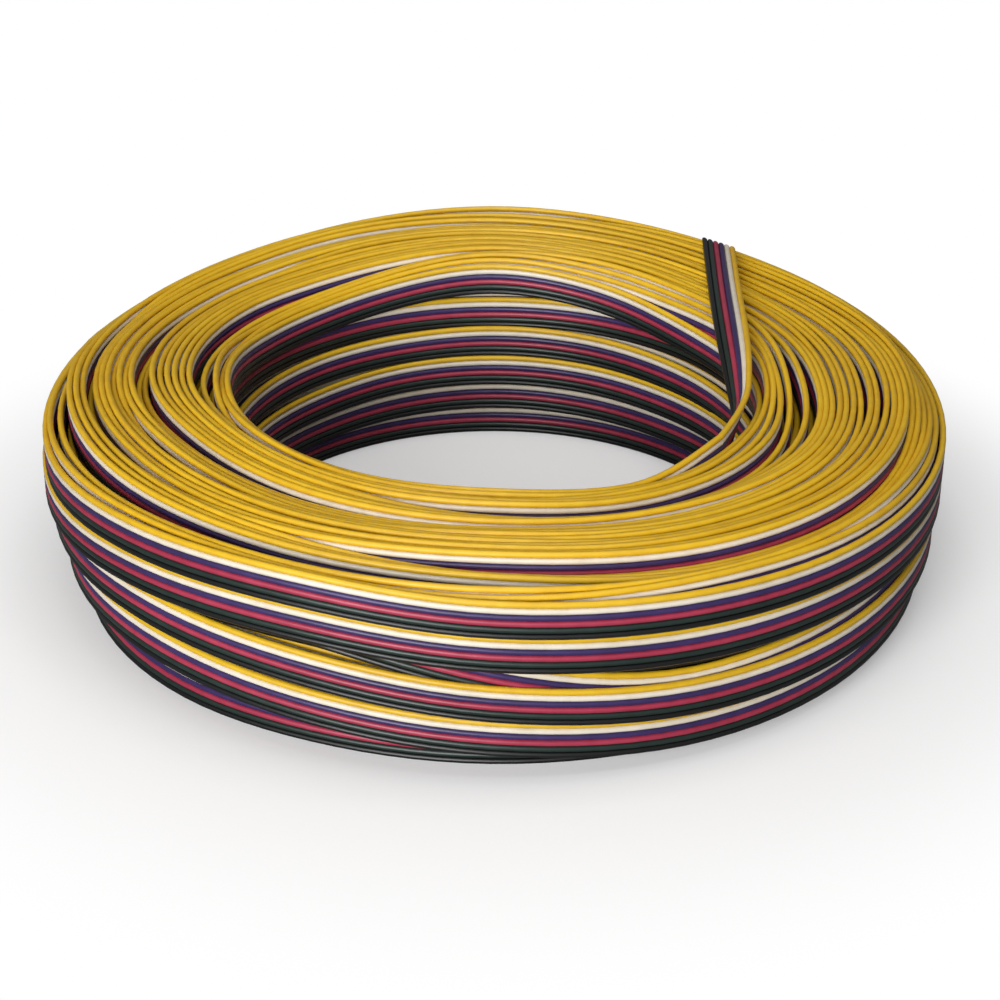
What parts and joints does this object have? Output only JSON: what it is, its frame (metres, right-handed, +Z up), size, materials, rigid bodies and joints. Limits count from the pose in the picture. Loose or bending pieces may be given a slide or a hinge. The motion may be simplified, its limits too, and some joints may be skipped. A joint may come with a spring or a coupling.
{
  "type": "flat ribbon cable roll",
  "caption": "Roll of flat multi-core ribbon cable in bonded coloured wires, wound on edge in layers round an open middle, with its cut end laid over the top.",
  "frame": {"origin": "on the floor at the roll's axis, the centre of the flat face that it lies on", "axes": "+Z up along the roll's axis, +Y to the back, where the cut end points, +X to the side on which the free end leaves the wall of the middle"},
  "size_m": [0.2546, 0.2546, 0.063],
  "materials": {
    "yellow_pvc": "satin extruded insulation",
    "white_pvc": "satin extruded insulation",
    "blue_pvc": "satin extruded insulation",
    "red_pvc": "satin extruded insulation",
    "green_pvc": "satin extruded insulation",
    "black_pvc": "satin extruded insulation",
    "tinned_copper": "bright tinned strands, cut"
  },
  "bodies": {
    "root": {"wound_cable": "yellow_pvc", "yellow_wire": "yellow_pvc", "white_wire": "white_pvc", "blue_wire": "blue_pvc", "red_wire": "red_pvc", "green_wire": "green_pvc", "black_wire": "black_pvc", "yellow_conductor": "tinned_copper", "white_conductor": "tinned_copper", "blue_conductor": "tinned_copper", "red_conductor": "tinned_copper", "green_conductor": "tinned_copper", "black_conductor": "tinned_copper"}
  },
  "joints": []
}
